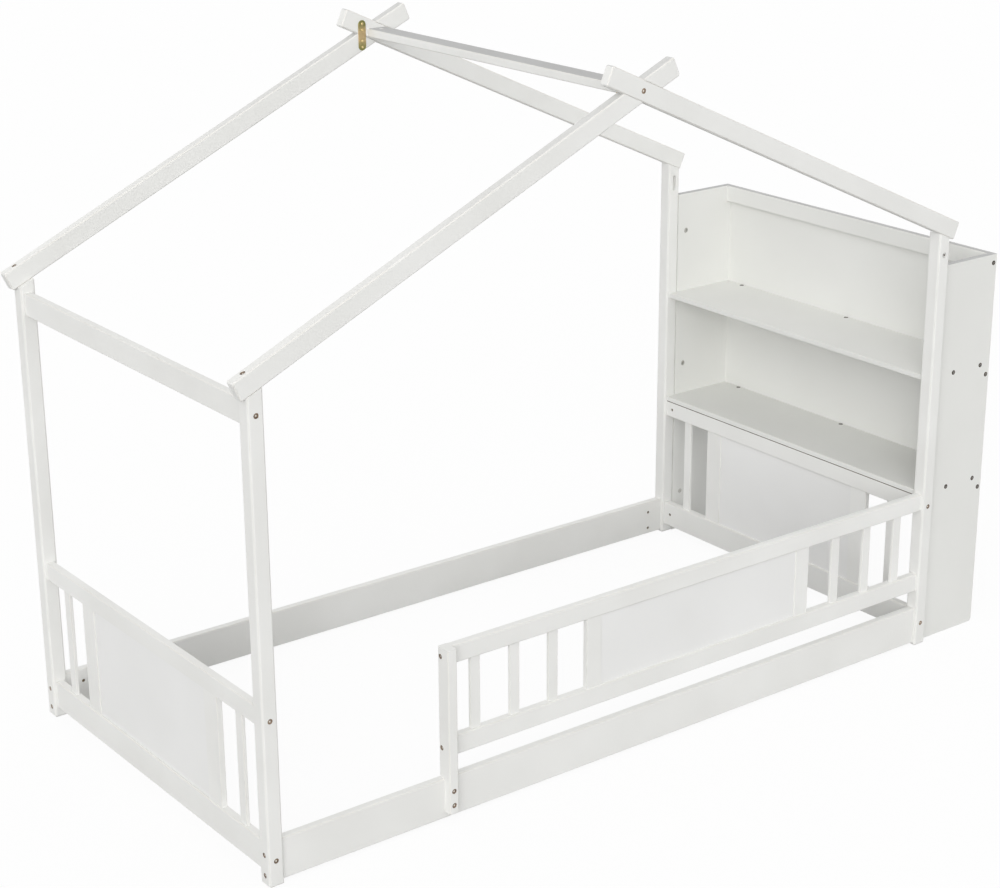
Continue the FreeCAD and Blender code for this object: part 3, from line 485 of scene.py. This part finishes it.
def ring_rows(rings):
    """Points of rings along an axis and the faces between them; a ring is outline, size and height."""
    points, faces = [], []
    for outline, size, height in rings:
        for step in range(TURNED_SIDES):
            angle = 2 * math.pi * step / TURNED_SIDES
            radius = outline_radius(outline, size, angle)
            points.append((radius * math.cos(angle), radius * math.sin(angle), height))
    for level in range(len(rings) - 1):
        low, high = level * TURNED_SIDES, (level + 1) * TURNED_SIDES
        for step in range(TURNED_SIDES):
            after = (step + 1) % TURNED_SIDES
            faces.append((low + step, low + after, high + after, high + step))
    return points, faces


def turned_piece(rings):
    """Points and faces of a turned piece, closed at its first and last ring."""
    points, faces = ring_rows(rings)
    faces.append(tuple(reversed(range(TURNED_SIDES))))
    faces.append(tuple(range(len(points) - TURNED_SIDES, len(points))))
    return points, faces


def set_pieces(name, placed, material, node):
    """One object of several turned pieces, each set with its own height axis along a line."""
    points, faces = [], []
    for (own_points, own_faces), origin, axis in placed:
        turn = axis.to_track_quat("Z", "Y")
        start = len(points)
        points.extend(origin + turn @ Vector(point) for point in own_points)
        faces.extend(tuple(start + corner for corner in face) for face in own_faces)
    shape = add_piece(name, points, faces, material, node).data
    shape.polygons.foreach_set("use_smooth", [True] * len(shape.polygons))
    shape.set_sharp_from_angle(angle=SHARP_EDGE)


def socket_bolt(length):
    under = -BOLT_HEAD_TALL
    return turned_piece((
        ("round", BOLT_TIP, -length), ("round", BOLT_SHANK, -length + BOLT_TIP_LONG),
        ("round", BOLT_SHANK, under), ("round", BOLT_HEAD - BOLT_EDGE, under),
        ("round", BOLT_HEAD, under + BOLT_EDGE), ("round", BOLT_HEAD, -BOLT_EDGE),
        ("round", BOLT_HEAD - BOLT_CROWN, -BOLT_CROWN_LOW), ("round", BOLT_HEAD - BOLT_EDGE * 2, 0.0),
        ("hexagon", SOCKET_FLATS + BOLT_EDGE, 0.0), ("hexagon", SOCKET_FLATS, -BOLT_EDGE / 2),
        ("hexagon", SOCKET_FLATS, -SOCKET_DEEP), ("hexagon", SOCKET_TIP, -SOCKET_DEEP - SOCKET_POINT)))


bronzed_steel = plated_metal("bronzed_steel", BRONZE_LIGHT, BRONZE_DARK, BRONZE_SMOOTH, BRONZE_ROUGH)
bolt_heads = []
for group in BOLT_GROUPS:
    lines = [bolt_line(points) for points in solids_of(group)]
    bolt_heads.extend(lines)
    set_pieces(group + "_turned", [(socket_bolt(length), head, axis) for head, axis, length in lines],
               bronzed_steel, group)
# Painted glint: light steel floors in the sockets brighten the middle of each bolt head.
painted_glint_steel = plated_metal("painted_glint_steel", SOCKET_GLINT_LIGHT, SOCKET_GLINT_DULL, SOCKET_SMOOTH, SOCKET_ROUGH)
socket_floor = turned_piece((
    ("hexagon", SOCKET_FLOOR, -SOCKET_POINT), ("hexagon", SOCKET_FLOOR, -SOCKET_DEEP)))
set_pieces("socket_floors", [(socket_floor, head, axis) for head, axis, length in bolt_heads],
           painted_glint_steel, None)

# Barrel nuts
# Short steel cylinders pressed into cross holes of the rails and beams, with a screwdriver slot that
# turns the thread in line with the bolt. Their ends stay in sight on the inner faces.
NUT_EDGE = 0.0006
NUT_SLOT_DEEP = 0.0015
NUT_SLOT_SHARE = 0.78
NUT_SLOT_FOOT_SHARE = 0.74
NUT_LIGHT = (0.26, 0.20, 0.125, 1.0)
NUT_DARK = (0.10, 0.08, 0.055, 1.0)
NUT_SMOOTH = 0.34
NUT_ROUGH = 0.5


def short_line(points):
    """Middle, axis, length and width of a short cylinder that lies along one of the main axes."""
    low, high = points.min(0), points.max(0)
    sides = high - low
    odd = int(np.argmax([abs(2 * sides[k] - sides[k - 1] - sides[k - 2]) for k in range(3)]))
    axis = [0.0, 0.0, 0.0]
    axis[odd] = 1.0
    return Vector((low + high) / 2), Vector(axis), float(sides[odd]), float(np.delete(sides, odd).max())


def slotted_nut(length, width):
    half = length / 2
    slot, foot = width * NUT_SLOT_SHARE, width * NUT_SLOT_FOOT_SHARE
    return turned_piece((
        ("slot", foot, -half + NUT_SLOT_DEEP), ("slot", slot, -half),
        ("round", width - 2 * NUT_EDGE, -half), ("round", width, -half + NUT_EDGE),
        ("round", width, half - NUT_EDGE), ("round", width - 2 * NUT_EDGE, half),
        ("slot", slot, half), ("slot", foot, half - NUT_SLOT_DEEP)))


dark_nut = plated_metal("bronzed_nut", NUT_LIGHT, NUT_DARK, NUT_SMOOTH, NUT_ROUGH)
nut_lines = [short_line(points) for points in solids_of("barrel_nuts")]
set_pieces("barrel_nuts_slotted", [(slotted_nut(length, width), middle, axis)
                                   for middle, axis, length, width in nut_lines],
           dark_nut, "barrel_nuts")

# Insert nuts, cam bolts and cam locks
# Zinc plated steel: threaded inserts inside the timber, bolts from the head posts into the bookcase
# sides, and the round cams that draw them tight, which show on the inner faces of the sides.
ZINC_LIGHT = (0.60, 0.59, 0.56, 1.0)
ZINC_DULL = (0.40, 0.39, 0.37, 1.0)
ZINC_SMOOTH = 0.3
ZINC_ROUGH = 0.5
CAM_EDGE = 0.0008
CAM_CROSS = 0.0075
CAM_CROSS_DEEP = 0.0024
zinc_steel = plated_metal("zinc_plated_steel", ZINC_LIGHT, ZINC_DULL, ZINC_SMOOTH, ZINC_ROUGH)
dress(("insert_nuts", "cam_bolts"), zinc_steel)


def cam_lock(length, width):
    half = length / 2
    return turned_piece((
        ("cross", CAM_CROSS, -half + CAM_CROSS_DEEP), ("cross", CAM_CROSS, -half),
        ("round", width - 4 * CAM_EDGE, -half), ("round", width - 3 * CAM_EDGE, -half + CAM_EDGE / 2),
        ("round", width - 2 * CAM_EDGE, -half), ("round", width, -half + CAM_EDGE),
        ("round", width, half - CAM_EDGE), ("round", width - 2 * CAM_EDGE, half),
        ("round", width - 3 * CAM_EDGE, half - CAM_EDGE / 2), ("round", width - 4 * CAM_EDGE, half),
        ("cross", CAM_CROSS, half), ("cross", CAM_CROSS, half - CAM_CROSS_DEEP)))


cam_lines = [short_line(points) for points in solids_of("cam_locks")]
set_pieces("cam_locks_crossed", [(cam_lock(length, width), middle, axis)
                                 for middle, axis, length, width in cam_lines],
           zinc_steel, "cam_locks")

# Bookcase screws
# Countersunk wood screws with crossed slots, blackened, driven through the sides into the shelves and
# back rails and down through the shelves into the rails under them.
SCREW_HEAD = 0.0125
SCREW_HEAD_TALL = 0.0025
SCREW_RIM = 0.01225
SCREW_FLAT = 0.010625
SCREW_CROWN = 0.0004
SCREW_SHANK = 0.004
SCREW_POINT = 0.0006
SCREW_TAPER = 0.008
SCREW_CROSS = 0.0070
SCREW_CROSS_FOOT = 0.0035
SCREW_CROSS_DEEP = 0.002
BLACK_LIGHT = (0.115, 0.092, 0.070, 1.0)
BLACK_DARK = (0.035, 0.029, 0.023, 1.0)
BLACK_SMOOTH = 0.32
BLACK_ROUGH = 0.5


def wood_screw(length):
    return turned_piece((
        ("round", SCREW_POINT, -length), ("round", SCREW_SHANK, -length + SCREW_TAPER),
        ("round", SCREW_SHANK, -SCREW_HEAD_TALL), ("round", SCREW_HEAD, 0.0),
        ("round", SCREW_RIM, SCREW_CROWN / 2), ("round", SCREW_FLAT, SCREW_CROWN),
        ("cross", SCREW_CROSS, SCREW_CROWN), ("cross", SCREW_CROSS_FOOT, -SCREW_CROSS_DEEP)))


def screw_line(points):
    """Middle of a screw's outer end, direction out of the wood, and length: up, or away from the middle."""
    low, high = points.min(0), points.max(0)
    sides = high - low
    along = int(sides.argmax())
    end = (low + high) / 2
    outward = 1.0 if along == 2 or end[along] > 0 else -1.0
    end[along] += outward * sides[along] / 2
    axis = [0.0, 0.0, 0.0]
    axis[along] = outward
    return Vector(end), Vector(axis), float(sides[along])


black_steel = plated_metal("blackened_steel", BLACK_LIGHT, BLACK_DARK, BLACK_SMOOTH, BLACK_ROUGH)
screw_lines = [screw_line(points) for points in solids_of("bookcase_screws")]
set_pieces("bookcase_screws_crossed", [(wood_screw(length), head, axis)
                                       for head, axis, length in screw_lines],
           black_steel, "bookcase_screws")

# Apex plates
# Steel strips with round ends, yellow zinc plated, screwed over the half laps on the inner side of
# each gable to keep them shut. Four round-headed screws hold each plate.
PLATE_GOLD = (0.56, 0.42, 0.23, 1.0)
PLATE_OLIVE = (0.24, 0.232, 0.085, 1.0)
PLATE_SMOOTH = 0.3
PLATE_ROUGH = 0.46
PLATE_CLOUD = 0.008
PLATE_SCRATCH_LONG = 0.01
PLATE_UNEVEN = 0.25
OLIVE_FROM = 0.15
OLIVE_TO = 0.85
PLATE_EDGE = 0.0005
PLATE_END_STEPS = 14


def strap_loop(middle, wide, tall, level):
    """Outline of an upright strap with round ends, square to the bed's width, at a place across it."""
    turns = [math.pi * step / PLATE_END_STEPS for step in range(PLATE_END_STEPS + 1)]
    ends = [(turn, 1) for turn in turns] + [(turn + math.pi, -1) for turn in turns]
    return [(middle[0] + wide / 2 * math.cos(turn), level,
             middle[2] + end * (tall - wide) / 2 + wide / 2 * math.sin(turn)) for turn, end in ends]


def plated_strap(name, bright, dull):
    """Yellow zinc that is golden in the middle and goes olive towards the ends, where the bath ran off."""
    material, tree, shader = blank_material(name)
    place = add_node(tree, "TexCoord").outputs
    seed = board_seed(tree)
    height = add_node(tree, "SeparateXYZ", (), [("Vector", place["Generated"])]).outputs["Z"]
    cloud = noise(tree, place["Object"], seed, PLATE_CLOUD, rough=0.6)
    drawn = stretched(tree, place["Object"], (SCRATCH_WIDE, SCRATCH_WIDE, PLATE_SCRATCH_LONG))
    scratch = noise(tree, drawn, seed, 1.0, detail=2.0)
    away = add_node(tree, "Math", [("operation", "ABSOLUTE")], [
        (0, range_by(tree, height, 0.0, 1.0, -1.0, 1.0))]).outputs["Value"]
    stray = range_by(tree, cloud, PATTERN_LOW, PATTERN_HIGH, -PLATE_UNEVEN, PLATE_UNEVEN)
    colour = blend_by(tree, combine(tree, "ADD", away, stray), OLIVE_FROM, OLIVE_TO, bright, dull)
    tree.links.new(colour, shader.inputs["Base Color"])
    set_gloss(tree, shader, cloud, PLATE_ROUGH, PLATE_SMOOTH)
    shader.inputs["Metallic"].default_value = 1.0
    tree.links.new(relief(tree, scratch, SCRATCH_STRENGTH, SCRATCH_DEEP), shader.inputs["Normal"])
    return material


yellow_zinc = plated_strap("yellow_zinc_strap", PLATE_GOLD, PLATE_OLIVE)
for side, inward in (("near", 1), ("far", -1)):
    node = "apex_plate_" + side
    low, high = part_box(node)
    middle = [(first + last) / 2 for first, last in zip(low, high)]
    wide, tall = high[0] - low[0], high[2] - low[2]
    back, front = (low[1], high[1]) if inward > 0 else (high[1], low[1])
    levels = ((wide, tall, back), (wide, tall, front - inward * PLATE_EDGE),
              (wide - 2 * PLATE_EDGE, tall - 2 * PLATE_EDGE, front))
    points = [point for level in levels for point in strap_loop(middle, *level)]
    count = len(points) // len(levels)
    faces = [tuple(range(count)), tuple(range(2 * count, 3 * count))]
    for level in range(len(levels) - 1):
        first = level * count
        faces.extend((first + step, first + (step + 1) % count, first + count + (step + 1) % count,
                      first + count + step) for step in range(count))
    add_piece(node + "_rounded", points, faces, yellow_zinc, node)

# Apex plate screws
# Small wood screws with domed heads and crossed slots, plated bright yellow. They hold the plates to
# both rafters of a crossing.
PLATE_SCREW_LIGHT = (0.86, 0.72, 0.40, 1.0)
PLATE_SCREW_DULL = (0.62, 0.50, 0.25, 1.0)
PLATE_SCREW_SMOOTH = 0.25
PLATE_SCREW_ROUGH = 0.4
PLATE_SCREW_SHANK = 0.0035
PLATE_SCREW_POINT = 0.0008
PLATE_SCREW_TAPER = 0.006
PLATE_SCREW_HEAD = 0.007
PLATE_SCREW_HEAD_TALL = 0.002
DOME_SHARES = ((1.0, -1.0), (1.0, -0.6), (0.9, -0.25), (0.65, 0.0))
PLATE_SCREW_CROSS = 0.0042
PLATE_CROSS_FOOT = 0.00252
PLATE_CROSS_DEEP = 0.0016


def plate_screw(length):
    dome = [("round", PLATE_SCREW_HEAD * across, PLATE_SCREW_HEAD_TALL * up) for across, up in DOME_SHARES]
    return turned_piece((
        ("round", PLATE_SCREW_POINT, -length), ("round", PLATE_SCREW_SHANK, -length + PLATE_SCREW_TAPER),
        ("round", PLATE_SCREW_SHANK, -PLATE_SCREW_HEAD_TALL), *dome,
        ("cross", PLATE_SCREW_CROSS, 0.0), ("cross", PLATE_CROSS_FOOT, -PLATE_CROSS_DEEP)))


bright_zinc = plated_metal("yellow_zinc_screw", PLATE_SCREW_LIGHT, PLATE_SCREW_DULL, PLATE_SCREW_SMOOTH,
                           PLATE_SCREW_ROUGH)
plate_screw_lines = [bolt_line(points) for points in solids_of("apex_plate_screws")]
set_pieces("apex_plate_screws_crossed", [(plate_screw(length), head, axis)
                                         for head, axis, length in plate_screw_lines],
           bright_zinc, "apex_plate_screws")

# Paint lips
# Where a bore breaks through a painted face, the sprayed paint has drawn back into a soft raised lip
# and runs a little way down the hole. It is the same white paint as on the wood around it.
LIP_WIDE = 0.0011
LIP_CREST = 0.00025
LIP_DEEP = 0.0025
LIP_SHARES = ((1.0, -0.4), (0.75, 0.6), (0.5, 1.0), (0.3, 0.8), (0.0, -1.0))
HEAD_RECESS = 0.0008
RAIL_HALF = 0.010
BOLT_LIP = 0.0124
NUT_LIP = 0.0088
SCREW_LIP = 0.0126
SPARE_LIP = 0.0064
SPARE_SET = 0.0012
SPARE_DEEP = 0.006


def lip(opening):
    """A ring of paint round an opening of this width, from its outer edge to the wall of the hole."""
    crest = [("round", opening + 2 * LIP_WIDE * across, LIP_CREST * up) for across, up in LIP_SHARES]
    return ring_rows(crest + [("round", opening, -LIP_DEEP)])


bed_middle = (Vector(cad_low) + Vector(cad_high)) / 2
lips = [(lip(BOLT_LIP), head + axis * HEAD_RECESS, axis) for head, axis, length in bolt_heads]
for middle, axis, length, width in nut_lines:
    inward = axis if axis.z or (bed_middle - middle).dot(axis) > 0 else -axis
    lips.append((lip(NUT_LIP), middle + inward * RAIL_HALF, inward))
lips.extend((lip(SCREW_LIP), head, axis) for head, axis, length in screw_lines)
tie_low, tie_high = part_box("foot_tie_beam")
# Painted shade: dark discs deep in the two unused holes of the head posts.
spare_hole_shade = turned_piece((("round", SPARE_LIP, -SPARE_DEEP), ("round", SPARE_LIP, -SPARE_SET)))
spare_hole_shades = []
for side, outward in (("near", -1.0), ("far", 1.0)):
    post_low, post_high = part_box("head_post_" + side)
    mouth = Vector(((post_low[0] + post_high[0]) / 2, post_low[1] if outward < 0 else post_high[1],
                    (tie_low[2] + tie_high[2]) / 2))
    way_out = Vector((0.0, outward, 0.0))
    lips.append((lip(SPARE_LIP), mouth, way_out))
    spare_hole_shades.append((spare_hole_shade, mouth, way_out))
set_pieces("paint_lips", lips, sprayed_board, None)
set_pieces("spare_hole_floors", spare_hole_shades, painted_shade_dark, None)

# Floor and backdrop
# A plain white studio floor that takes the soft shadow of the bed, and a white surround. The camera
# sees it almost pure white, and the bed gets less light back from it.
FLOOR_HALF = 40.0
FLOOR_WHITE = (0.93, 0.93, 0.93, 1.0)
FLOOR_ROUGH = 0.9
FLOOR_BOUNCE = (0.47, 0.47, 0.47, 1.0)
FLOOR_GLOW = 0.92
PURE_WHITE = (1.0, 1.0, 1.0, 1.0)
floor_shape = bpy.data.meshes.new("floor")
floor_shape.from_pydata([(-FLOOR_HALF, -FLOOR_HALF, 0.0), (FLOOR_HALF, -FLOOR_HALF, 0.0),
                         (FLOOR_HALF, FLOOR_HALF, 0.0), (-FLOOR_HALF, FLOOR_HALF, 0.0)], [], [(0, 1, 2, 3)])
floor = bpy.data.objects.new("floor", floor_shape)
bpy.context.scene.collection.objects.link(floor)
floor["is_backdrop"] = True


def seen_as_backdrop(tree):
    """One where the camera looks, also by way of metal or glass, and none for light that falls on the bed."""
    rays = add_node(tree, "LightPath").outputs
    mirrored = combine(tree, "MAXIMUM", rays["Is Camera Ray"], rays["Is Glossy Ray"])
    return combine(tree, "MAXIMUM", mirrored, rays["Is Transmission Ray"])


def mix_shaders(tree, share, first, second):
    return add_node(tree, "MixShader", (), [(0, share), (1, first), (2, second)]).outputs["Shader"]


floor_paint, tree, shader = blank_material("floor_white")
shader.inputs["Base Color"].default_value = FLOOR_WHITE
shader.inputs["Roughness"].default_value = FLOOR_ROUGH
glow = add_node(tree, "Emission", (), [("Color", PURE_WHITE), ("Strength", 1.0)])
bounce = add_node(tree, "BsdfDiffuse", (), [("Color", FLOOR_BOUNCE)])
seen = mix_shaders(tree, FLOOR_GLOW, shader.outputs["BSDF"], glow.outputs["Emission"])
lit = mix_shaders(tree, seen_as_backdrop(tree), bounce.outputs["BSDF"], seen)
tree.links.new(lit, tree.nodes["Material Output"].inputs["Surface"])
floor_shape.materials.append(floor_paint)

# Light
# A white studio: soft light from all round, a little more from behind, two broad lamps on the
# camera's side, one at the height of the bed and one above it, and a weak one at the guarded side.
SKY_FRONT = 0.51
SKY_BEHIND = 0.94
BEHIND_WAY = (math.sqrt(0.5), math.sqrt(0.5), 0.0)
LOW_LAMP_FROM = (-0.69, -0.66, 0.10)
LOW_LAMP_POWER = 1.26
HIGH_LAMP_FROM = (-0.63, -0.61, 0.48)
HIGH_LAMP_POWER = 0.92
SIDE_LAMP_FROM = (0.55, -0.80, 0.25)
SIDE_LAMP_POWER = 0.2
LAMP_SPREAD = math.radians(50)
LAMPS = (("low_lamp", LOW_LAMP_FROM, LOW_LAMP_POWER), ("high_lamp", HIGH_LAMP_FROM, HIGH_LAMP_POWER),
         ("side_lamp", SIDE_LAMP_FROM, SIDE_LAMP_POWER))
world = bpy.data.worlds.new("studio")
bpy.context.scene.world = world
world.use_nodes = True
tree = world.node_tree
behind = add_node(tree, "VectorMath", [("operation", "DOT_PRODUCT")], [
    (0, add_node(tree, "TexCoord").outputs["Generated"]), (1, BEHIND_WAY)])
sky = tree.nodes["Background"]
sky.inputs["Color"].default_value = PURE_WHITE
brightness = range_by(tree, behind.outputs["Value"], -1.0, 1.0, SKY_FRONT, SKY_BEHIND)
tree.links.new(brightness, sky.inputs["Strength"])
white = add_node(tree, "Background", (), [("Color", PURE_WHITE), ("Strength", 1.0)])
chosen = mix_shaders(tree, seen_as_backdrop(tree), sky.outputs["Background"], white.outputs["Background"])
tree.links.new(chosen, tree.nodes["World Output"].inputs["Surface"])
for name, way, power in LAMPS:
    lamp_light = bpy.data.lights.new(name, "SUN")
    lamp_light.energy = power
    lamp_light.angle = LAMP_SPREAD
    lamp = bpy.data.objects.new(name, lamp_light)
    lamp.rotation_euler = (-Vector(way)).to_track_quat("-Z", "Y").to_euler()
    bpy.context.scene.collection.objects.link(lamp)

# Camera
# It stands off the near corner of the foot end, above the height of the roof, and looks a little
# down along the bed.
CAMERA_PLACE = (-3.18106, -4.10235, 2.4895)
CAMERA_TURN = (70.22999, 0.32287, -37.12345)
CAMERA_LENS = 78.711
CAMERA_SENSOR = 36.0
camera_lens = bpy.data.cameras.new("camera")
camera_lens.sensor_width = CAMERA_SENSOR
camera_lens.lens = CAMERA_LENS
camera = bpy.data.objects.new("camera", camera_lens)
camera.location = CAMERA_PLACE
camera.rotation_euler = Euler([math.radians(turn) for turn in CAMERA_TURN])
bpy.context.scene.collection.objects.link(camera)
bpy.context.scene.camera = camera
bpy.context.scene.view_settings.view_transform = "Standard"

low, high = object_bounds()
